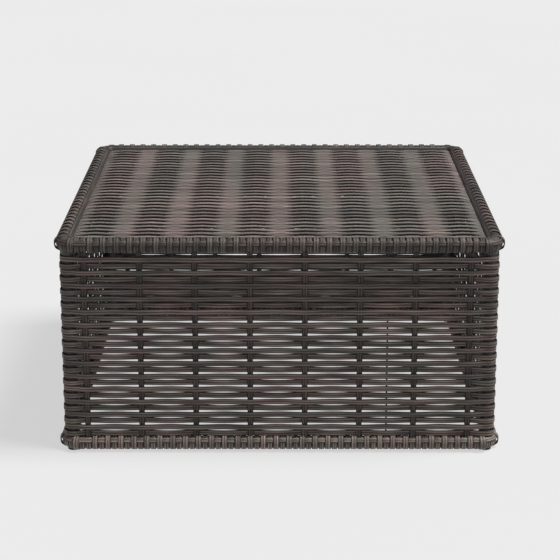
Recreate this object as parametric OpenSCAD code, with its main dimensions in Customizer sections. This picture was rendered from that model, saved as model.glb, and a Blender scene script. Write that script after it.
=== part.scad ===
// Square wicker coffee table: a welded tube frame with a plain-woven skin of flat strands.
// Units are millimetres. +Z is up, the front looks towards -Y, and the origin is at the
// centre of the footprint on the floor.

/* [Table] */
// Width and depth over the rims
table_w = 800; // [700:10:900]
// Height above the floor
table_h = 400; // [360:5:450]

/* [Frame] */
// Outside diameter of the two rim tubes
rail_d = 22; // [20:0.5:24]
// Bend radius of a rim tube at its corners, on the tube's axis
corner_r = 20; // [18:0.5:24]
// Outside diameter of a leg tube
leg_d = 25; // [22:0.5:26]
// Distance of a leg's axis from the rim tube's axis, along X and along Y
leg_inset = 9; // [8:0.25:10]
// Wall thickness of the tubes
wall = 1.5; // [1:0.1:2.5]
// Diameter of the two bars under the top
bar_d = 16; // [12:1:16]
// Distance between the two bars
bar_gap = 256; // [150:1:400]
// Height of a glide below the rim binding
glide_h = 1.5; // [1:0.25:4]
// Diameter of a glide
glide_d = 22; // [16:1:24]

/* [Strand] */
// Width of a woven strand
strand_w = 10.4; // [9:0.1:10.8]
// Thickness of a woven strand
strand_t = 2.8; // [2:0.1:3]

/* [Side weave] */
// Number of strand pairs up a side
side_pairs = 14; // [8:1:14]
// Number of upright stakes in a side
side_stakes = 8; // [4:1:8]
// Distance between the stakes of a side
side_stake_pitch = 98; // [80:0.5:98]
// Sideways shift of a side's stakes from its middle
side_stake_shift = 3.5; // [0:0.5:4]
// Distance of the stay wire from the middle of the front
wire_x = 193; // [100:1:195]
// Diameter of the stay wire
wire_d = 3; // [2:0.5:3]

/* [Top weave] */
// Number of strand pairs from front to back
top_pairs = 30; // [20:1:30]
// Number of stakes in the top
top_stakes_n = 8; // [4:1:8]
// Distance between the stakes of the top
top_stake_pitch = 94.2; // [80:0.2:96]

/* [Binding] */
// Thickness of the strand bound round a rim tube
bind_t = 2.75; // [2:0.05:3]
// Turns of binding along one side of a rim
bind_turns = 62; // [30:1:62]
// Depth of the groove between two turns
bind_groove = 0.9; // [0.4:0.1:1.5]
// Thickness of the flat strands laid along a rim
edge_t = 2; // [1.5:0.1:2.2]
// Angle of the top rim's outer edge strand above the horizontal
top_outer_angle = 27; // [5:1:30]
// Angle of the top rim's inner edge strand above the horizontal
top_inner_angle = 35; // [30:1:40]
// Angle of the bottom rim's edge strand above the horizontal
bottom_outer_angle = 35; // [20:1:40]

/* [Hidden] */

// Turns about Z that carry the back side and the back right corner to the others
BACK = 0;
LEFT = 90;
FRONT = 180;
RIGHT = 270;

steel = "dimgray";
taupe = "rosybrown";
olive = "darkkhaki";
fit = 0.1; // clearance between pieces that would otherwise share a face
slack = 0.2; // clearance at the end of a strand

rail_r = rail_d / 2;
rim_r = rail_r + bind_t; // outside radius of the bound rim
leg_r = leg_d / 2;
bar_r = bar_d / 2;

// Distance of a rim's axis from the table's middle, so that the edge strand reaches table_w
rim_axis = table_w / 2 - (rim_r + edge_t) * cos(top_outer_angle) - strand_w / 2 * sin(top_outer_angle);
corner_at = rim_axis - corner_r; // centre of a rim's bend, along X and along Y
leg_at = rim_axis - leg_inset;
low_z = glide_h + rim_r; // height of the bottom rim's axis
high_z = table_h - rim_r; // height of the top rim's axis
bind_len = 2 * corner_at; // length of a straight stretch of rim

// Side weave: the stakes' middle plane, which the strands leave at each stake
side_plane = leg_at + leg_r + strand_t / 2 + fit;
lift = strand_t + fit; // how far a strand moves aside to pass a stake
crest = strand_w / 2 + 2; // half the flat stretch over a stake
bend_r = side_plane - leg_at; // radius of a strand's bend round a leg
row_low = low_z + rim_r + strand_w / 2 + slack;
row_high = high_z - rim_r - strand_w / 2 - 6;
row_pitch = (row_high - row_low) / (2 * side_pairs - 1);
side_stake_at = [for (i = [0:side_stakes - 1])
  (i - (side_stakes - 1) / 2) * side_stake_pitch + side_stake_shift];

// Top weave
top_plane = high_z + 5.75;
top_reach = rim_axis - (rim_r + edge_t) * cos(top_inner_angle) - strand_w / 2 * sin(top_inner_angle) - 0.5;
top_row_pitch = (2 * top_reach - strand_w - 6) / (2 * top_pairs - 1);
top_stake_at = [for (i = [0:top_stakes_n - 1]) (i - (top_stakes_n - 1) / 2) * top_stake_pitch];
bar_z = top_plane - lift - strand_t / 2 - bar_r - fit;

// Points of a strand's middle line: moved by `side` times lift at each stake, and back between
function wave(stakes, from, to, side) = concat(
  [[from, 0]],
  [for (i = [0:len(stakes) - 1]) for (p = [
      if (i > 0) [(stakes[i - 1] + stakes[i]) / 2, 0],
      [stakes[i] - crest, side * lift],
      [stakes[i] + crest, side * lift]
    ]) p],
  [[to, 0]]);

// Outline of a strand seen from its edge
module strand_outline(stakes, from, to, side) {
  line = wave(stakes, from, to, side);
  last = len(line) - 1;
  polygon(concat(
    [for (p = line) p + [0, strand_t / 2]],
    [for (i = [last:-1:0]) line[i] - [0, strand_t / 2]]));
}

// Carries a shape built at the back side, or at the back right corner, round to another
module turned(angle) {
  rotate([0, 0, angle])
    children();
}

// A 2D profile (outward, up) swept round a whole rim at height z
module rim_loop(z) {
  for (angle = [BACK, LEFT, FRONT, RIGHT])
    turned(angle) {
      translate([corner_at, rim_axis, z])
        rotate([0, -90, 0])
          linear_extrude(bind_len)
            rotate(90)
              mirror([0, 1])
                children();
      translate([corner_at, corner_at, z])
        rotate_extrude(angle = 90, $fn = 96)
          translate([corner_r, 0])
            children();
    }
}

// A rim tube bent round the four corners
module steel_ring(z) {
  color(steel)
    rim_loop(z)
      difference() {
        circle(rail_r, $fn = 64);
        circle(rail_r - wall, $fn = 64);
      }
}

// An upright tube whose ends are cut to sit on the two rings
module leg(angle) {
  color(steel)
    turned(angle)
      difference() {
        leg_blank(4, leg_r);
        leg_blank(0, leg_r - wall);
        ring_corner(low_z);
        ring_corner(high_z);
      }
}

// A cylinder on a leg's axis, ending `short` past the axes of the two rings
module leg_blank(short, r) {
  translate([leg_at, leg_at, low_z + short])
    cylinder(h = high_z - low_z - 2 * short, r = r, $fn = 64);
}

// The solid space inside a rim tube near the back right corner
module ring_corner(z) {
  translate([corner_at, corner_at, z])
    rotate_extrude(angle = 90, $fn = 96)
      translate([corner_r, 0])
        circle(rail_r, $fn = 64);
  translate([corner_at, rim_axis, z])
    rotate([0, -90, 0])
      cylinder(h = 3 * leg_d, r = rail_r, $fn = 64);
  translate([rim_axis, corner_at, z])
    rotate([90, 0, 0])
      cylinder(h = 3 * leg_d, r = rail_r, $fn = 64);
}

// A cylinder on the axis of the bar at y
module bar_blank(y, r) {
  translate([-rim_axis, y, bar_z])
    rotate([0, 90, 0])
      cylinder(h = 2 * rim_axis, r = r, $fn = 48);
}

// A tube under the top, cut at both ends to sit on the top ring
module bar(y) {
  color(steel)
    difference() {
      bar_blank(y, bar_r);
      bar_blank(y, bar_r - wall);
      for (side = [-1, 1])
        translate([side * rim_axis, y - leg_d, high_z])
          rotate([-90, 0, 0])
            cylinder(h = 2 * leg_d, r = rail_r, $fn = 64);
    }
}

// A flat-bottomed foot whose top is hollowed to the bound rim above it
module glide(angle) {
  color("black")
    turned(angle)
      difference() {
        translate([leg_at, leg_at, 0])
          cylinder(h = glide_h + 4, r = glide_d / 2, $fn = 48);
        translate([corner_at, corner_at, low_z])
          rotate_extrude(angle = 90, $fn = 96)
            translate([corner_r, 0])
              circle(rim_r + fit, $fn = 64);
      }
}

// Upright flat strands in the middle plane of a side
module side_stake_set(angle) {
  bottom = low_z + rim_r + slack;
  color(olive)
    turned(angle)
      for (x = side_stake_at)
        translate([x - strand_w / 2, side_plane - strand_t / 2, bottom])
          cube([strand_w, strand_t, high_z - rim_r - slack - bottom]);
}

// One strand of a side, bent round half of the leg at each end
module side_strand(side) {
  translate([0, side_plane, -strand_w / 2])
    linear_extrude(strand_w)
      strand_outline(side_stake_at, -leg_at, leg_at, side);
  for (end = [0, 1])
    mirror([end, 0, 0])
      translate([-leg_at, leg_at, 0])
        rotate([0, 0, 90])
          rotate_extrude(angle = 45, $fn = 96)
            translate([bend_r - strand_t / 2, -strand_w / 2])
              square([strand_t, strand_w]);
}

// The upper strand of each pair passes outside the stakes, and the lower one inside them
module side_strand_set(angle, side) {
  first = side > 0 ? 1 : 0;
  color(taupe)
    turned(angle)
      for (row = [first:2:2 * side_pairs - 1])
        translate([0, 0, row_low + row * row_pitch])
          side_strand(side);
}

module top_stake_set() {
  color(olive)
    for (x = top_stake_at)
      translate([x - strand_w / 2, -top_reach, top_plane - strand_t / 2])
        cube([strand_w, 2 * top_reach, strand_t]);
}

// The front strand of each pair passes over the stakes, and the back one under them
module top_strand_set(side) {
  first = side > 0 ? 0 : 1;
  color(taupe)
    for (row = [first:2:2 * top_pairs - 1])
      translate([0, (row - top_pairs + 0.5) * top_row_pitch + strand_w / 2, top_plane])
        rotate([90, 0, 0])
          linear_extrude(strand_w)
            strand_outline(top_stake_at, -top_reach, top_reach, side);
}

// Turns of strand bound round a straight stretch of rim, as one grooved sleeve
module binding_sleeve(z) {
  pitch = bind_len / bind_turns;
  half_gap = (pitch - strand_w) / 2;
  ridge = [for (i = [0:bind_turns - 1])
    for (p = [[0, -bind_groove], [half_gap, 0], [pitch - half_gap, 0]])
      [rim_r + p[1], i * pitch + p[0]]];
  translate([-bind_len / 2, rim_axis, z])
    rotate([0, 90, 0])
      rotate_extrude($fn = 64)
        polygon(concat(
          [[rail_r + fit / 2, 0]], ridge,
          [[rim_r - bind_groove, bind_len], [rail_r + fit / 2, bind_len]]));
}

module straight_binding(angle, z) {
  color(taupe)
    turned(angle)
      binding_sleeve(z);
}

// The top binding on the left and right also lets the two bars through
module barred_binding(angle) {
  color(taupe)
    turned(angle)
      difference() {
        binding_sleeve(high_z);
        for (side = [-1, 1])
          translate([side * bar_gap / 2, rim_axis, bar_z])
            rotate([90, 0, 0])
              cylinder(h = 2 * rim_r, r = bar_r + fit, $fn = 48);
      }
}

// Five turns of binding round a corner, cut open where the leg stands
module corner_binding(angle, z) {
  turn = 90 / 5;
  gap = 2;
  color(taupe)
    turned(angle)
      difference() {
        for (i = [0:4])
          translate([corner_at, corner_at, z])
            rotate([0, 0, i * turn + gap / 2])
              rotate_extrude(angle = turn - gap, $fn = 96)
                translate([corner_r, 0])
                  difference() {
                    circle(rim_r, $fn = 64);
                    circle(rail_r + fit / 2, $fn = 64);
                  }
        leg_blank(0, leg_r + fit);
      }
}

// A flat strand laid along the whole of a rim, on top of the binding
module edge_strand(z, angle, inside) {
  color(olive)
    rim_loop(z)
      mirror([inside ? 1 : 0, 0])
        rotate(angle)
          translate([rim_r + fit / 2, -strand_w / 2])
            square([edge_t - fit / 2, strand_w]);
}

// A thin upright wire behind the front strands, between two stakes
module wire() {
  bottom = low_z + rim_r + slack;
  color(steel)
    translate([wire_x, -side_plane + strand_t / 2 + wire_d / 2 + 3 * fit, bottom])
      cylinder(h = high_z - rim_r - slack - bottom, r = wire_d / 2, $fn = 24);
}

module top_ring() { steel_ring(high_z); }
module bottom_ring() { steel_ring(low_z); }
module leg_front_left() { leg(FRONT); }
module leg_front_right() { leg(RIGHT); }
module leg_back_left() { leg(LEFT); }
module leg_back_right() { leg(BACK); }
module bar_front() { bar(-bar_gap / 2); }
module bar_back() { bar(bar_gap / 2); }
module glide_front_left() { glide(FRONT); }
module glide_front_right() { glide(RIGHT); }
module glide_back_left() { glide(LEFT); }
module glide_back_right() { glide(BACK); }
module stakes_front() { side_stake_set(FRONT); }
module stakes_back() { side_stake_set(BACK); }
module stakes_left() { side_stake_set(LEFT); }
module stakes_right() { side_stake_set(RIGHT); }
module outer_weavers_front() { side_strand_set(FRONT, 1); }
module outer_weavers_back() { side_strand_set(BACK, 1); }
module outer_weavers_left() { side_strand_set(LEFT, 1); }
module outer_weavers_right() { side_strand_set(RIGHT, 1); }
module inner_weavers_front() { side_strand_set(FRONT, -1); }
module inner_weavers_back() { side_strand_set(BACK, -1); }
module inner_weavers_left() { side_strand_set(LEFT, -1); }
module inner_weavers_right() { side_strand_set(RIGHT, -1); }
module top_stakes() { top_stake_set(); }
module top_over_weavers() { top_strand_set(1); }
module top_under_weavers() { top_strand_set(-1); }
module stay_wire() { wire(); }
module top_binding_front() { straight_binding(FRONT, high_z); }
module top_binding_back() { straight_binding(BACK, high_z); }
module top_binding_left() { barred_binding(LEFT); }
module top_binding_right() { barred_binding(RIGHT); }
module top_corner_front_left() { corner_binding(FRONT, high_z); }
module top_corner_front_right() { corner_binding(RIGHT, high_z); }
module top_corner_back_left() { corner_binding(LEFT, high_z); }
module top_corner_back_right() { corner_binding(BACK, high_z); }
module bottom_binding_front() { straight_binding(FRONT, low_z); }
module bottom_binding_back() { straight_binding(BACK, low_z); }
module bottom_binding_left() { straight_binding(LEFT, low_z); }
module bottom_binding_right() { straight_binding(RIGHT, low_z); }
module bottom_corner_front_left() { corner_binding(FRONT, low_z); }
module bottom_corner_front_right() { corner_binding(RIGHT, low_z); }
module bottom_corner_back_left() { corner_binding(LEFT, low_z); }
module bottom_corner_back_right() { corner_binding(BACK, low_z); }
module top_outer_edge() { edge_strand(high_z, top_outer_angle, false); }
module top_inner_edge() { edge_strand(high_z, top_inner_angle, true); }
module bottom_outer_edge() { edge_strand(low_z, bottom_outer_angle, false); }

top_ring();
bottom_ring();
leg_front_left();
leg_front_right();
leg_back_left();
leg_back_right();
bar_front();
bar_back();
glide_front_left();
glide_front_right();
glide_back_left();
glide_back_right();
stakes_front();
stakes_back();
stakes_left();
stakes_right();
outer_weavers_front();
outer_weavers_back();
outer_weavers_left();
outer_weavers_right();
inner_weavers_front();
inner_weavers_back();
inner_weavers_left();
inner_weavers_right();
top_stakes();
top_over_weavers();
top_under_weavers();
stay_wire();
top_binding_front();
top_binding_back();
top_binding_left();
top_binding_right();
top_corner_front_left();
top_corner_front_right();
top_corner_back_left();
top_corner_back_right();
bottom_binding_front();
bottom_binding_back();
bottom_binding_left();
bottom_binding_right();
bottom_corner_front_left();
bottom_corner_front_right();
bottom_corner_back_left();
bottom_corner_back_right();
top_outer_edge();
top_inner_edge();
bottom_outer_edge();
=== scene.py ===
"""Looks of the wicker coffee table: strands woven round its welded tube frame.

Everything is in metres in the frame's own axes: +Z up, the front towards -Y, the floor at 0.
Each side is built as the back side, which faces +Y, and turned into its place.
"""

import math

import bpy
import numpy as np
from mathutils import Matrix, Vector


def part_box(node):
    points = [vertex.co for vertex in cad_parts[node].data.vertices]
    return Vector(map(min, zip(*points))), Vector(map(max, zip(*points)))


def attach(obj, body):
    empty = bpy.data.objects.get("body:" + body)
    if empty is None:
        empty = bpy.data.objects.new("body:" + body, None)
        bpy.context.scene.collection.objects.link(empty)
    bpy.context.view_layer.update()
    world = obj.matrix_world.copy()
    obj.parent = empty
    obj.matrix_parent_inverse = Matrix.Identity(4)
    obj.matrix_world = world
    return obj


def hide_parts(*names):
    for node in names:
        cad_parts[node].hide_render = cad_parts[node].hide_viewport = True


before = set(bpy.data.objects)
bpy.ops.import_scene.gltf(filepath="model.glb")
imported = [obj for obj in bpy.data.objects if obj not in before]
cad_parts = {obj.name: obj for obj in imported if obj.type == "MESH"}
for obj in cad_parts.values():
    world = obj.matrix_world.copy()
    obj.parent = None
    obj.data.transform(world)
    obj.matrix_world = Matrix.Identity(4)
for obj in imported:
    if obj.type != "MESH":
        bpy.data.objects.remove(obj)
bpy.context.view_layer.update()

SIDES = {"back": 0, "left": 90, "front": 180, "right": 270}  # turn of each side about Z, degrees
CORNERS = {"back_right": 0, "back_left": 90, "front_left": 180, "front_right": 270}

# ---------------------------------------------------------------------------------------------
# Sizes read from the frame


def middle(node):
    """Centre of a CAD node's box."""
    low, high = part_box(node)
    return (low + high) / 2


ring_low, ring_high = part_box("top_ring")
RAIL_R = (ring_high.z - ring_low.z) / 2
RIM_AXIS = ring_high.x - RAIL_R
HIGH_Z = middle("top_ring").z
LOW_Z = middle("bottom_ring").z
BIND_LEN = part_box("top_binding_back")[1].x * 2
CORNER_AT = BIND_LEN / 2
CORNER_R = RIM_AXIS - CORNER_AT
LEG_AT = middle("leg_back_right").x
STRAND_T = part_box("stakes_back")[1].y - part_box("stakes_back")[0].y
SIDE_PLANE = middle("stakes_back").y
TOP_PLANE = middle("top_stakes").z
TOP_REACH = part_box("top_over_weavers")[1].x

# Sizes that the frame's boxes don't tell
STRAND_W = 0.0104
SIDE_PAIRS = 14
STAKES = 8
SIDE_STAKE_PITCH = 0.098
SIDE_STAKE_SHIFT = 0.0035
TOP_PAIRS = 30
TOP_STAKE_PITCH = 0.0942
BIND_TURNS = 62
CORNER_TURNS = 5

CLEARANCE = 0.0001
LIFT = STRAND_T + CLEARANCE  # from the middle of a stake to that of a strand that crosses it
BEND_R = SIDE_PLANE - LEG_AT
ROW_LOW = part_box("inner_weavers_back")[0].z + STRAND_W / 2
ROW_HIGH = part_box("outer_weavers_back")[1].z - STRAND_W / 2
ROW_PITCH = (ROW_HIGH - ROW_LOW) / (2 * SIDE_PAIRS - 1)
TOP_ROW_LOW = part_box("top_over_weavers")[0].y + STRAND_W / 2
TOP_ROW_PITCH = -2 * TOP_ROW_LOW / (2 * TOP_PAIRS - 1)
TURN_PITCH = BIND_LEN / BIND_TURNS

rng = np.random.default_rng(7)
FULL_TURN = 2 * math.pi
HUE_SEEDS = 40  # strands with seeds drawn from 0 to this are mostly unlike in colour

# ---------------------------------------------------------------------------------------------
# Strand geometry

RIBS = 4  # shallow grooves along a strand's outer face
RIB_DEPTH = 0.10  # of half the thickness, as CROWN and BACK_CROWN are
CROWN, BACK_CROWN = 0.16, 0.1
FACE_END = 0.86  # where the rounding of the edges begins, of half the width
EDGE = [(0.97, 0.55), (1.0, 0.0), (0.97, -0.55)]


def flat_profile(face_points=13, back_points=5):
    """Closed outline of a flat strand: (across, out) in halves of its width and thickness.

    The outer face has shallow grooves, and the two edges are round."""
    face = []
    for a in np.linspace(-FACE_END, FACE_END, face_points):
        groove = 0.5 - 0.5 * math.cos(FULL_TURN * RIBS * (a + FACE_END) / (2 * FACE_END))
        crown = 1 - CROWN * a * a
        face.append((a, crown - RIB_DEPTH * groove))
    back = [(a, -1 + BACK_CROWN * a * a) for a in np.linspace(FACE_END, -FACE_END, back_points)]
    return np.array(face + EDGE + back + [(-a, out) for a, out in reversed(EDGE)])


PROFILE = flat_profile()
WRAP_PROFILE = flat_profile(9, 3)


def unit(v):
    """Vectors of length 1."""
    return v / np.linalg.norm(v, axis=-1, keepdims=True)


def turn(points, degrees):
    """Points turned about Z."""
    a = math.radians(degrees)
    c, s = round(math.cos(a), 12), round(math.sin(a), 12)
    return points @ np.array([[c, s, 0], [-s, c, 0], [0, 0, 1]])


def eased(x, knots, values):
    """Values at x, from those at the knots joined by half waves."""
    i = np.clip(np.searchsorted(knots, x, side="right") - 1, 0, len(knots) - 2)
    knots, values = np.asarray(knots), np.asarray(values)
    t = (x - knots[i]) / (knots[i + 1] - knots[i])
    return values[i] + (values[i + 1] - values[i]) * (0.5 - 0.5 * np.cos(np.pi * np.clip(t, 0, 1)))


def wander(x, size, length):
    """A smooth random drift along x, about `size` high, that changes over `length`."""
    total = np.zeros_like(x)
    for octave in (1, 2.3):
        phase, stretch = rng.uniform(0, FULL_TURN), rng.uniform(0.8, 1.25)
        total += np.sin(FULL_TURN * x * octave * stretch / length + phase) / octave
    return total * size / 1.4  # about the most that the two octaves add up to


class Bundle:
    """Strands that become one mesh. Its vertices carry what the materials read:

    lay, the place along and across the strand, in metres, and the strand's seed
    edge, 0 at the middle of the strand and 1 at its edges
    tone, the strand's shade from 0, dark, to 1, light"""

    def __init__(self):
        self.points, self.lay, self.tone, self.edge = [], [], [], []
        self.quads, self.caps = [], []
        self.count = 0

    def add(self, line, out, width=STRAND_W, thick=STRAND_T, profile=PROFILE, closed=False,
            roll=0.0, cup=0.0, tone=0.5, seed=None):
        """Sweeps a strand along `line`, with its outer face towards `out`.

        width, thick and roll, in radians, are one number or one for each point of the line. cup is
        how far the edges bend inwards. Strands with near seeds are alike in colour."""
        line, out = np.asarray(line, float), np.asarray(out, float)
        n, m = len(line), len(profile)
        ahead = np.roll(line, -1, 0) - np.roll(line, 1, 0)
        if not closed:
            ahead[0], ahead[-1] = line[1] - line[0], line[-1] - line[-2]
        ahead = unit(ahead)
        out = unit(out - (out * ahead).sum(1, keepdims=True) * ahead)
        side = np.cross(ahead, out)
        roll = np.broadcast_to(roll, n)[:, None]
        c, s = np.cos(roll), np.sin(roll)
        out, side = out * c + side * s, side * c - out * s
        across = np.broadcast_to(width, n)[:, None] / 2 * profile[None, :, 0]
        rise = np.broadcast_to(thick, n)[:, None] / 2 * profile[None, :, 1]
        rise = rise - cup * profile[None, :, 0] ** 2
        points = line[:, None] + side[:, None] * across[..., None] + out[:, None] * rise[..., None]
        steps = np.linalg.norm(np.diff(line, axis=0), axis=1)
        along = np.concatenate([[0], np.cumsum(steps)])
        if closed:  # runs up and back, so that it meets itself
            whole = along[-1] + np.linalg.norm(line[0] - line[-1])
            along = np.minimum(along, whole - along)
        seed = rng.uniform(0, HUE_SEEDS) if seed is None else seed
        lay = np.stack([np.broadcast_to(along[:, None], (n, m)), across, np.full((n, m), seed)],
                       axis=-1)
        edge = np.broadcast_to(np.abs(profile[:, 0]), (n, m))
        ring = np.arange(n if closed else n - 1)
        i, j = np.meshgrid(ring, np.arange(m), indexing="ij")
        i2, j2 = (i + 1) % n, (j + 1) % m
        quads = np.stack([i * m + j, i2 * m + j, i2 * m + j2, i * m + j2], -1).reshape(-1, 4)
        self.quads.append(quads + self.count)
        self.put(points.reshape(-1, 3), lay.reshape(-1, 3), edge.ravel(), tone)
        if not closed:
            for end, order in ((0, 1), (n - 1, -1)):
                self.caps.append(np.arange(m)[::order] + self.count)
                self.put(points[end], lay[end], edge[end], tone)

    def put(self, points, lay, edge, tone):
        """Adds vertices and what they carry."""
        self.points.append(points)
        self.lay.append(lay)
        self.edge.append(edge)
        self.tone.append(np.full(len(points), tone))
        self.count += len(points)

    def made(self, name, material, nodes, degrees=0):
        """Makes the mesh object, turned about Z, which takes the place of the CAD nodes."""
        points = turn(np.concatenate(self.points), degrees)
        quads = np.concatenate(self.quads)
        loops = [quads.reshape(-1)] + self.caps
        sizes = np.concatenate([np.full(len(quads), 4), [len(c) for c in self.caps]]).astype(int)
        mesh = bpy.data.meshes.new(name)
        mesh.vertices.add(len(points))
        mesh.vertices.foreach_set("co", points.astype(np.float32).ravel())
        loops = np.concatenate(loops).astype(np.int32)
        mesh.loops.add(len(loops))
        mesh.loops.foreach_set("vertex_index", loops)
        mesh.polygons.add(len(sizes))
        starts = np.concatenate([[0], np.cumsum(sizes)[:-1]]).astype(np.int32)
        mesh.polygons.foreach_set("loop_start", starts)
        mesh.polygons.foreach_set("use_smooth", np.ones(len(sizes), bool))
        mesh.update(calc_edges=True)
        lay = mesh.attributes.new("lay", "FLOAT_VECTOR", "POINT")
        lay.data.foreach_set("vector", np.concatenate(self.lay).astype(np.float32).ravel())
        for attribute, values in (("tone", self.tone), ("edge", self.edge)):
            value = mesh.attributes.new(attribute, "FLOAT", "POINT")
            value.data.foreach_set("value", np.concatenate(values).astype(np.float32))
        mesh.materials.append(material)
        piece = bpy.data.objects.new(name, mesh)
        bpy.context.scene.collection.objects.link(piece)
        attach(piece, "root")
        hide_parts(*nodes)


# ---------------------------------------------------------------------------------------------
# Materials


class Nodes:
    """A material's node tree, with short calls for what every material here needs."""

    def __init__(self, name):
        self.material = bpy.data.materials.new(name)
        self.material.use_nodes = True
        self.tree = self.material.node_tree
        self.shader = self.tree.nodes["Principled BSDF"]

    def link(self, source, target):
        self.tree.links.new(source, target)

    def put(self, target, value):
        """Links a socket to the target, or sets it to a number or a colour."""
        if isinstance(value, bpy.types.NodeSocket):
            self.link(value, target)
        else:
            target.default_value = value

    def attribute(self, name, output="Vector"):
        node = self.tree.nodes.new("ShaderNodeAttribute")
        node.attribute_name = name
        return node.outputs[output]

    def coordinates(self):
        return self.tree.nodes.new("ShaderNodeTexCoord").outputs["Object"]

    def scaled(self, vector, scale):
        node = self.tree.nodes.new("ShaderNodeMapping")
        self.link(vector, node.inputs["Vector"])
        node.inputs["Scale"].default_value = scale
        return node.outputs["Vector"]

    def noise(self, vector, scale=1.0, detail=2.0, roughness=0.5):
        node = self.tree.nodes.new("ShaderNodeTexNoise")
        self.link(vector, node.inputs["Vector"])
        node.inputs["Scale"].default_value = scale
        node.inputs["Detail"].default_value = detail
        node.inputs["Roughness"].default_value = roughness
        return node.outputs["Fac"]

    def waves(self, vector, bend):
        """Bands one unit apart in Y, darkest at whole numbers, which wander by `bend` radians."""
        node = self.tree.nodes.new("ShaderNodeTexWave")
        self.link(vector, node.inputs["Vector"])
        node.wave_type, node.bands_direction = "BANDS", "Y"
        node.inputs["Scale"].default_value = math.pi / 10
        node.inputs["Distortion"].default_value = bend
        node.inputs["Detail"].default_value = 1
        return node.outputs["Fac"]

    def ranged(self, value, low, high, to_low=0.0, to_high=1.0):
        node = self.tree.nodes.new("ShaderNodeMapRange")
        self.link(value, node.inputs["Value"])
        for socket, number in zip(("From Min", "From Max", "To Min", "To Max"),
                                  (low, high, to_low, to_high)):
            node.inputs[socket].default_value = number
        return node.outputs["Result"]

    def maths(self, operation, a, b):
        node = self.tree.nodes.new("ShaderNodeMath")
        node.operation = operation
        self.put(node.inputs[0], a)
        self.put(node.inputs[1], b)
        return node.outputs[0]

    def mixed(self, factor, a, b, blend="MIX"):
        node = self.tree.nodes.new("ShaderNodeMix")
        node.data_type, node.blend_type = "RGBA", blend  # whose sockets are 6, 7 and 2
        self.put(node.inputs[0], factor)
        self.put(node.inputs[6], a)
        self.put(node.inputs[7], b)
        return node.outputs[2]

    def bumped(self, height, strength, distance):
        node = self.tree.nodes.new("ShaderNodeBump")
        self.link(height, node.inputs["Height"])
        node.inputs["Strength"].default_value = strength
        node.inputs["Distance"].default_value = distance
        self.link(node.outputs["Normal"], self.shader.inputs["Normal"])


def grey(value):
    return (value, value, value, 1)


MAUVE = (0.113, 0.080, 0.072, 1)
OLIVE = (0.085, 0.073, 0.061, 1)
DULL = grey(0.083)
# How often the grain of a strand changes: in a metre along it, in a metre across it, and from one
# seed to the next
DRIFT_SCALE = 9  # along only: across it is 0, and each material has its own from seed to seed
RIB_SCALE = (12, 208, 30)
STREAK_SCALE = (12, 300, 30)
FINE_SCALE = (70, 3200, 3)
RIB_BEND = 1.6  # radians


def strand_material(name, brightness=1.0, column=0.15, painted_edge_shade=0.3, greyed=0.0):
    """Extruded plastic strand: two muted tones that drift along it, and fine lines lengthwise.

    column is how much the drift differs from one seed to the next, painted_edge_shade how dark
    the strand's edges are painted, a painted shade for their rounded sides, and greyed how far its
    colours are dulled."""
    n = Nodes(name)
    lay, tone, edge = n.attribute("lay"), n.attribute("tone", "Fac"), n.attribute("edge", "Fac")
    drift = n.noise(n.scaled(lay, (DRIFT_SCALE, 0, column)), detail=1.5)
    hue = n.ranged(drift, 0.42, 0.58)
    base = n.mixed(greyed, n.mixed(hue, OLIVE, MAUVE), DULL)
    ribs = n.waves(n.scaled(lay, RIB_SCALE), RIB_BEND)
    streaks = n.noise(n.scaled(lay, STREAK_SCALE), detail=4, roughness=0.65)
    fine = n.noise(n.scaled(lay, FINE_SCALE))
    shade = n.ranged(ribs, 0, 1, 0.42, 1.55)  # a shade of 1 leaves the base as it is
    # Shade factors. The tone is partly painted light: inner rows are made brighter, raised binding
    # turns lighter and flush ones darker. The edge factor is painted shade, darker towards a
    # strand's edges.
    for factor in (n.ranged(streaks, 0.36, 0.64, 0.5, 1.55),
                   n.ranged(fine, 0.3, 0.7, 0.88, 1.12),
                   n.ranged(tone, 0, 1, 0.3 * brightness, 1.7 * brightness),
                   n.ranged(edge, 0.62, 0.98, 1.0, painted_edge_shade)):
        shade = n.maths("MULTIPLY", shade, factor)
    shade_colour = n.tree.nodes.new("ShaderNodeCombineColor")
    for socket in shade_colour.inputs[:3]:
        n.link(shade, socket)
    colour = n.mixed(1.0, base, shade_colour.outputs[0], "MULTIPLY")
    n.link(colour, n.shader.inputs["Base Color"])
    n.link(n.ranged(streaks, 0.3, 0.7, 0.62, 0.46), n.shader.inputs["Roughness"])
    n.bumped(n.maths("ADD", streaks, n.maths("MULTIPLY", fine, 0.5)), 0.5, 0.0006)
    n.shader.inputs["Specular IOR Level"].default_value = 0.3
    return n.material


def painted_metal(name, colour):
    """Powder coat: a fine grain, slightly uneven in colour and gloss."""
    n = Nodes(name)
    place = n.coordinates()
    grain = n.noise(place, scale=1800)
    cloud = n.noise(place, scale=25, detail=3)
    dark = (*(c * 0.8 for c in colour[:3]), 1)
    n.link(n.mixed(n.ranged(cloud, 0.35, 0.65), dark, colour), n.shader.inputs["Base Color"])
    n.link(n.ranged(grain, 0.3, 0.7, 0.42, 0.58), n.shader.inputs["Roughness"])
    n.bumped(grain, 0.25, 0.0002)
    return n.material


def moulded_plastic(name, colour):
    """Injection-moulded plastic with a faint spark-eroded grain."""
    n = Nodes(name)
    place = n.coordinates()
    grain = n.noise(place, scale=2600, detail=1)
    cloud = n.noise(place, scale=60)
    dark = (*(c * 0.75 for c in colour[:3]), 1)
    n.link(n.mixed(n.ranged(cloud, 0.35, 0.65), dark, colour), n.shader.inputs["Base Color"])
    n.link(n.ranged(grain, 0.3, 0.7, 0.5, 0.66), n.shader.inputs["Roughness"])
    n.bumped(grain, 0.2, 0.0001)
    return n.material


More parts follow.
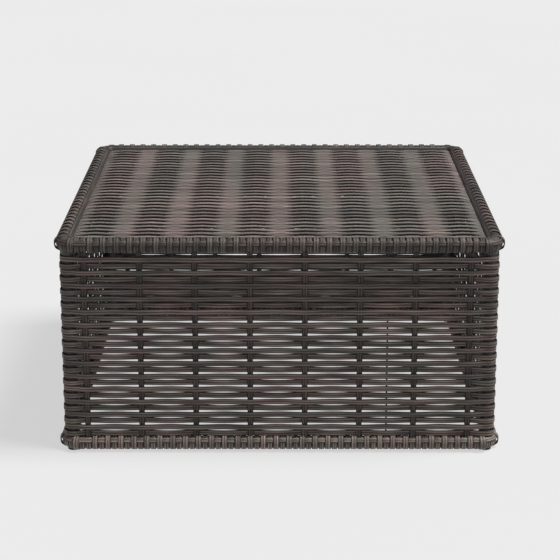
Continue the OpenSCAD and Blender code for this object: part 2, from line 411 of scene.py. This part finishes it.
weaver_strand = strand_material("weaver_strand", brightness=0.85)
top_strand = strand_material("top_strand", brightness=1.14, column=0.06, painted_edge_shade=0.2, greyed=0.22)
# The stakes are darker than the weavers. This is painted shade, which makes them as dark as the
# shaded inner strands beside them.
stake_strand = strand_material("stake_strand", brightness=0.42, column=1.0)
binding_strand = strand_material("binding_strand", brightness=0.85, column=1.0, painted_edge_shade=0.55)

# ---------------------------------------------------------------------------------------------
# Sides

side_stakes = (np.arange(STAKES) - (STAKES - 1) / 2) * SIDE_STAKE_PITCH + SIDE_STAKE_SHIFT

WEAVE_STEP = 0.0056  # between the stations along a woven strand
STAKE_STATIONS = 40
STAKE_TUCK = 0.002  # how much further than in the CAD a side's stake runs into each rim
CORNER_PROUD = 0.0012  # how far the inner strands stand out at a corner
SPREAD_BETWEEN = 0.0001  # how far each strand of a pair moves from the other between two stakes
SPREAD_CORNER = 0.0008  # and at a corner
LEG_BEND = np.radians([0, 8, 16, 24, 32, 40, 44.2, 45])  # stations round half of a leg
BACK_STRAND_W = 1.12 * STRAND_W  # the back side is woven tighter than the others
BACK_SLIT = 9  # but for the slit above this row
SLIT_SPREAD = 0.0013  # how far the slit's middle pushes the rows away from it
SLIT_FADE = 0.0004  # how much less that is for each row further from it

# Random drifts of strands: how high, and over what length. A lean's height is in radians.
SIDE_STAKE_DRIFT = (0.0002, 0.3)
SIDE_ROW_DRIFT = (0.00016, 0.23)
TOP_STAKE_DRIFT = (0.0003, 0.4)
TOP_ROW_DRIFT = (0.00015, 0.25)
LEAN = (0.03, 0.3)

# Tones and seeds of the strands
STAKE_TONES = (0.3, 0.7)
SIDE_TONES = (0.28, 0.56)
INNER_BRIGHTER = 0.08  # the inner strands get less light, which this makes up for
SIDE_SEED_STEP, SIDE_SEED_SPREAD = 1.2, 1
TOP_TONES = (0.3, 0.7)
TOP_SEED_STEP, TOP_SEED_SPREAD = 0.35, 4


def knots_of(stakes, reach):
    """The ends, each stake and each place midway between two stakes, in order."""
    between = (stakes[1:] + stakes[:-1]) / 2
    inner = np.empty(2 * len(stakes) - 1)
    inner[0::2], inner[1::2] = stakes, between
    return np.concatenate([[-reach], inner, [reach]])


def wave_of(knots, end, stake, between):
    """A value at the ends, at the stakes and between them."""
    values = np.full(len(knots), float(stake))
    values[2:-2:2] = between
    values[0] = values[-1] = end
    return values


def stations(reach, step):
    """Even stations from -reach to reach, about a step apart."""
    return np.linspace(-reach, reach, int(round(2 * reach / step)) + 1)


def facing(direction, line):
    """The same direction for each station of a line."""
    return np.tile([float(d) for d in direction], (len(line), 1))


def slit_shift(row):
    """How far a row of the back side is moved by the one wider slit in it."""
    away = row - (BACK_SLIT + 0.5)
    return math.copysign(max(0, SLIT_SPREAD - SLIT_FADE * abs(away)), away)


def side_strand(bundle, row, outer, width, shift, tone, seed):
    """One strand of a side, from corner to corner, bent round half of the leg at each end."""
    knots = knots_of(side_stakes, LEG_AT)
    x = stations(LEG_AT, WEAVE_STEP)
    sign = 1 if outer else -1
    proud = 0.0 if outer else CORNER_PROUD
    depth = eased(x, knots, wave_of(knots, proud, sign * LIFT, 0))
    spread = eased(x, knots, wave_of(knots, SPREAD_CORNER, 0, SPREAD_BETWEEN))
    z = ROW_LOW + row * ROW_PITCH + sign * spread
    fading = np.cos(np.pi * x / 2 / LEG_AT)  # to nothing at the corners, where two sides meet
    z = z + (wander(x, *SIDE_ROW_DRIFT) + shift) * fading
    body = np.stack([x, SIDE_PLANE + depth, z], 1)
    out = facing((0, 1, 0), x)
    for end in (-1, 1):
        a = LEG_BEND[1:] if end > 0 else LEG_BEND[:0:-1]
        outward = np.stack([end * np.sin(a), np.cos(a), 0 * a], 1)
        bend = outward * (BEND_R + proud) + [end * LEG_AT, LEG_AT, z[-1 if end > 0 else 0]]
        body = np.concatenate([body, bend] if end > 0 else [bend, body])
        out = np.concatenate([out, outward] if end > 0 else [outward, out])
    bundle.add(body, out, width=width, roll=wander(body[:, 0], *LEAN), tone=tone, seed=seed)


row_tones = rng.uniform(*SIDE_TONES, 2 * SIDE_PAIRS)
row_tones[0::2] += INNER_BRIGHTER
for side, degrees in SIDES.items():
    stakes = Bundle()
    low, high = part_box(f"stakes_{side}")
    z = np.linspace(low.z - STAKE_TUCK, high.z + STAKE_TUCK, STAKE_STATIONS)
    for x in side_stakes:
        line = np.stack([x + wander(z, *SIDE_STAKE_DRIFT), np.full_like(z, SIDE_PLANE), z], 1)
        stakes.add(line, facing((0, 1, 0), z), tone=rng.uniform(*STAKE_TONES))
    stakes.made(f"stakes_{side}_woven", stake_strand, [f"stakes_{side}"], degrees)
    for kind, first in (("inner", 0), ("outer", 1)):
        strands = Bundle()
        for row in range(first, 2 * SIDE_PAIRS, 2):
            seed = degrees + SIDE_SEED_STEP * row + rng.uniform(0, SIDE_SEED_SPREAD)
            width = BACK_STRAND_W if side == "back" else STRAND_W
            shift = slit_shift(row) if side == "back" else 0
            side_strand(strands, row, kind == "outer", width, shift, row_tones[row], seed)
        node = f"{kind}_weavers_{side}"
        strands.made(f"{node}_woven", weaver_strand, [node], degrees)

# ---------------------------------------------------------------------------------------------
# Top

top_stakes = (np.arange(STAKES) - (STAKES - 1) / 2) * TOP_STAKE_PITCH
TOP_STAKE_T = 0.0016
TOP_STAKE_STEP = 0.012
TOP_STRAND_W, TOP_STRAND_T = 0.0119, 0.0032
TOP_LIFT = (TOP_STAKE_T + TOP_STRAND_T) / 2
TOP_END = TOP_REACH + 0.0022
TUCK, TUCK_LENGTH = 0.0035, 0.018  # how a strand's end dives under the rim's inner edge strand


def dive(along):
    """How far a strand or stake of the top is below its plane."""
    return TUCK * np.clip((np.abs(along) - (TOP_END - TUCK_LENGTH)) / TUCK_LENGTH, 0, 1) ** 2


def top_strand_line(bundle, row, over):
    """One strand of the top, from left to right."""
    knots = knots_of(top_stakes, TOP_END)
    x = stations(TOP_END, WEAVE_STEP)
    rise = eased(x, knots, wave_of(knots, 0, TOP_LIFT if over else -TOP_LIFT, 0)) - dive(x)
    y = TOP_ROW_LOW + row * TOP_ROW_PITCH + wander(x, *TOP_ROW_DRIFT)
    line = np.stack([x, y, TOP_PLANE + rise], 1)
    bundle.add(line, facing((0, 0, 1), x), width=TOP_STRAND_W, thick=TOP_STRAND_T,
               roll=wander(x, *LEAN), tone=rng.uniform(*TOP_TONES),
               seed=TOP_SEED_STEP * row + rng.uniform(0, TOP_SEED_SPREAD))


stakes = Bundle()
y = stations(TOP_END, TOP_STAKE_STEP)
for x in top_stakes:
    line = np.stack([x + wander(y, *TOP_STAKE_DRIFT), y, TOP_PLANE - dive(y)], 1)
    stakes.add(line, facing((0, 0, 1), y), thick=TOP_STAKE_T, tone=rng.uniform(*STAKE_TONES))
stakes.made("top_stakes_woven", stake_strand, ["top_stakes"])
for kind, first in (("over", 0), ("under", 1)):
    strands = Bundle()
    for row in range(first, 2 * TOP_PAIRS, 2):
        top_strand_line(strands, row, kind == "over")
    node = f"top_{kind}_weavers"
    strands.made(f"{node}_woven", top_strand, [node])

# ---------------------------------------------------------------------------------------------
# Rims

WRAP_T = 0.0023  # thickness of the binding strand
WRAP_W, RAISED_W, LOOSE_W = 0.0096, 0.0108, 0.0145  # width of a flush, raised and loose turn
UNDER_R = RAIL_R + WRAP_T / 2  # centreline of a flush turn, which passes under the edge strand
LAID_T = 0.0016  # thickness of an edge strand
LAID_R = RAIL_R + WRAP_T + LAID_T / 2 + CLEARANCE
LAID_DIP = 0.0016  # how far the outer edge strand is pressed in by a turn that passes over it
LAID_CUP = 0.0007
OVER_RISE = 0.0024  # how much further out such a turn is
LOOSE_RISE = 0.0038  # the same for the loose wide turns at a corner
TOP_OUTER, TOP_INNER, BOTTOM_OUTER = 27, 35, 35  # degrees above the horizontal
# Where a turn stands off the rim: degrees from the edge strand, and shares of its whole rise
OVER_SHAPE = ((-90, 0), (-52, 0.5), (-26, 1), (26, 1), (60, 0.8), (98, 0.2))
LOOSE_SHAPE = ((-115, 0.05), (-80, 0.4), (-48, 0.95), (-12, 1), (24, 0.65), (50, 0.2))
AROUND = np.linspace(0, FULL_TURN, 40, endpoint=False)  # stations round a turn, from its outside
SEAM = -120  # degrees: on the rim's underside, where no turn stands off
TURN_JITTER = 0.0003  # how far a turn is out of its place along the rim, and out of square
SKEW_PHASES = 6.28  # radians: a turn leans any way
FLUSH_ROOM, LOOSE_ROOM = 0.95, 1.35  # most that a corner's turn fills of its share of the bend
CORNER_STATIONS = 12
TURN_SEED_STEP = 0.06
FRONT_PAINTED_RELIEF, PAINTED_RELIEF = 0.03, 0.16  # painted light and shade: raised turns made lighter, flush turns darker
UP = np.array([0, 0, 1.0])


def standoff(shape, rise, edge):
    """How far a turn stands off the rim at each station round it, for an edge strand's angle."""
    offsets, shares = np.array(shape).T
    around = (np.degrees(AROUND) - SEAM) % 360 + SEAM
    return eased(around, [SEAM, *(edge + offsets), SEAM + 360], [0, *(rise * shares), 0])


def wrap(bundle, centre, outward, z, off, width, tone, seed):
    """One turn of binding round the rim at `centre`, which stands off it by `off`."""
    ray = np.cos(AROUND)[:, None] * outward + np.sin(AROUND)[:, None] * UP
    ahead = np.cross(outward, UP)
    skew = rng.uniform(-TURN_JITTER, TURN_JITTER) * np.cos(AROUND + rng.uniform(0, SKEW_PHASES))
    line = centre + [0, 0, z] + ray * (UNDER_R + off)[:, None] + ahead * skew[:, None]
    bundle.add(line, ray, width=width, thick=WRAP_T, profile=WRAP_PROFILE, closed=True,
               tone=tone, seed=seed)


def rim_binding(name, z, edge, tones):
    """The turns along the four sides and round the four corners of one rim.

    Every second turn passes over the edge strand at the angle `edge`."""
    flush = 0 * AROUND
    over = standoff(OVER_SHAPE, OVER_RISE, edge)
    loose = standoff(LOOSE_SHAPE, LOOSE_RISE, edge)
    for side, degrees in SIDES.items():
        turns = Bundle()
        start = rng.uniform(0, HUE_SEEDS)
        # Painted light and shade: raised turns get a lighter tone and flush turns a darker one,
        # less so on the front
        painted_relief = FRONT_PAINTED_RELIEF if side == "front" else PAINTED_RELIEF
        for k in range(BIND_TURNS):
            x = (k + 0.5) * TURN_PITCH - BIND_LEN / 2 + rng.uniform(-TURN_JITTER, TURN_JITTER)
            raised = k % 2 == 1 and k < BIND_TURNS - 1  # never next to a corner
            wrap(turns, np.array([x, RIM_AXIS, 0]), np.array([0, 1.0, 0]), z,
                 over if raised else flush, RAISED_W if raised else WRAP_W,
                 tone=rng.uniform(*tones) + (painted_relief if raised else -painted_relief),
                 seed=start + TURN_SEED_STEP * k)
        node = f"{name}_binding_{side}"
        turns.made(f"{node}_wound", binding_strand, [node], degrees)
    for corner, degrees in CORNERS.items():
        turns = Bundle()
        for k in range(CORNER_TURNS):
            wide = k in (0, CORNER_TURNS - 1)
            a = math.radians(90 * (k + 0.5) / CORNER_TURNS)
            outward = np.array([math.sin(a), math.cos(a), 0])
            centre = outward * CORNER_R + [CORNER_AT, CORNER_AT, 0]
            room = (CORNER_R + UNDER_R * np.cos(AROUND)) * math.radians(90 / CORNER_TURNS)
            width = np.minimum(LOOSE_W if wide else WRAP_W,
                               room * (LOOSE_ROOM if wide else FLUSH_ROOM))
            wrap(turns, centre, outward, z, loose if wide else flush, width,
                 tone=rng.uniform(*tones), seed=TURN_SEED_STEP * k)
        node = f"{name}_corner_{corner}"
        turns.made(f"{node}_wound", binding_strand, [node], degrees)


def edge_loop(name, z, angle, inside, tone):
    """A flat strand laid along the whole rim, pressed in by the turns that pass over it."""
    lines, rays, radii = [], [], []
    x = np.linspace(-BIND_LEN / 2, BIND_LEN / 2, 4 * BIND_TURNS + 1)[:-1]
    k = (x + BIND_LEN / 2) / TURN_PITCH - 0.5  # whole at the middle of each turn, odd if raised
    under_raised = (not inside) * (np.abs(x) < BIND_LEN / 2 - TURN_PITCH)
    press = (0.5 - 0.5 * np.cos(np.pi * k)) * under_raised
    corner = np.radians(np.linspace(0, 90, CORNER_STATIONS + 1)[:-1])
    for degrees in (0, 270, 180, 90):
        straight = np.stack([x, np.full_like(x, RIM_AXIS), 0 * x], 1)
        bend = np.stack([np.sin(corner), np.cos(corner), 0 * corner], 1)
        spot = bend * CORNER_R + [CORNER_AT, CORNER_AT, 0]
        lines.append(turn(np.concatenate([straight, spot]), degrees))
        rays.append(turn(np.concatenate([facing((0, 1, 0), x), bend]), degrees))
        radii.append(np.concatenate([LAID_R - LAID_DIP * press, LAID_R + 0 * corner]))
    centre, ray, r = np.concatenate(lines), np.concatenate(rays), np.concatenate(radii)
    angle = math.radians(angle)
    tilt = (-1 if inside else 1) * math.cos(angle) * ray + math.sin(angle) * UP
    strand = Bundle()
    strand.add(centre + [0, 0, z] + tilt * r[:, None], tilt, thick=LAID_T, closed=True,
               cup=LAID_CUP, tone=tone)
    strand.made(f"{name}_laid", binding_strand, [name])


rim_binding("top", HIGH_Z, TOP_OUTER, tones=(0.06, 0.3))
rim_binding("bottom", LOW_Z, BOTTOM_OUTER, tones=(0.7, 0.92))
edge_loop("top_outer_edge", HIGH_Z, TOP_OUTER, inside=False, tone=0.14)
edge_loop("top_inner_edge", HIGH_Z, TOP_INNER, inside=True, tone=0.05)
edge_loop("bottom_outer_edge", LOW_Z, BOTTOM_OUTER, inside=False, tone=0.85)

# ---------------------------------------------------------------------------------------------
# CAD nodes that stay

steel = painted_metal("frame_paint", (0.035, 0.032, 0.03, 1))
wire = painted_metal("wire_paint", (0.03, 0.028, 0.026, 1))
glide = moulded_plastic("glide_plastic", (0.02, 0.02, 0.02, 1))
FINISHES = {"top_ring": steel, "bottom_ring": steel, "bar_front": steel, "bar_back": steel,
            "stay_wire": wire}
for corner in CORNERS:
    FINISHES[f"leg_{corner}"] = steel
    FINISHES[f"glide_{corner}"] = glide
for node, material in FINISHES.items():
    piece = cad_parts[node]
    piece.data.materials.clear()
    piece.data.materials.append(material)

# ---------------------------------------------------------------------------------------------
# Floor, light and camera


def floor_material():
    """A pale floor, mostly lit from within as by a studio's many bounces, so shadows stay soft."""
    n = Nodes("studio_floor")
    cloud = n.noise(n.coordinates(), scale=0.8)
    n.link(n.mixed(cloud, grey(0.125), grey(0.135)), n.shader.inputs["Base Color"])
    n.shader.inputs["Roughness"].default_value = 1.0
    n.shader.inputs["Specular IOR Level"].default_value = 0.0
    n.shader.inputs["Emission Color"].default_value = grey(1)
    n.shader.inputs["Emission Strength"].default_value = 0.6
    return n.material


scene = bpy.context.scene
scene.view_settings.view_transform = "Standard"

FLOOR = 30  # half the floor's width
floor_mesh = bpy.data.meshes.new("floor")
floor_corners = [(x * FLOOR, y * FLOOR, 0) for x, y in ((-1, -1), (1, -1), (1, 1), (-1, 1))]
floor_mesh.from_pydata(floor_corners, [], [(0, 1, 2, 3)])
floor_mesh.materials.append(floor_material())
floor = bpy.data.objects.new("floor", floor_mesh)
scene.collection.objects.link(floor)

world = bpy.data.worlds.new("studio")
scene.world = world
world.use_nodes = True
links, nodes = world.node_tree.links, world.node_tree.nodes
height = nodes.new("ShaderNodeSeparateXYZ")
links.new(nodes.new("ShaderNodeTexCoord").outputs["Generated"], height.inputs[0])
sky = nodes.new("ShaderNodeMapRange")  # as bright as the floor at the horizon, dimmer above
links.new(height.outputs["Z"], sky.inputs["Value"])
SKY = {"From Min": 0.09, "From Max": 0.20, "To Min": 0.82, "To Max": 0.25}
for socket, number in SKY.items():
    sky.inputs[socket].default_value = number
links.new(sky.outputs["Result"], nodes["Background"].inputs["Strength"])
nodes["Background"].inputs["Color"].default_value = grey(1)

# A wide soft light from high on the right
TO_LIGHT = Vector((1.0, -0.08, 1.9))
key_data = bpy.data.lights.new("key", "SUN")
key_data.energy, key_data.angle = 5.5, math.radians(25)
key = bpy.data.objects.new("key", key_data)
scene.collection.objects.link(key)
key.rotation_mode = "QUATERNION"
key.rotation_quaternion = TO_LIGHT.to_track_quat("Z", "Y")

# A long lens in front of the table, which looks down a little. The shift keeps the table in the
# middle of the frame.
LOOKS_DOWN = 14.52  # degrees
camera_data = bpy.data.cameras.new("camera")
camera_data.sensor_width = 36
camera_data.lens = 111.9
camera_data.shift_y = -0.12
camera_data.clip_end = 100
camera = bpy.data.objects.new("camera", camera_data)
scene.collection.objects.link(camera)
camera.location = (0.001, -3.3435, 1.212)
camera.rotation_euler = (math.radians(90 - LOOKS_DOWN), 0, 0)
scene.camera = camera
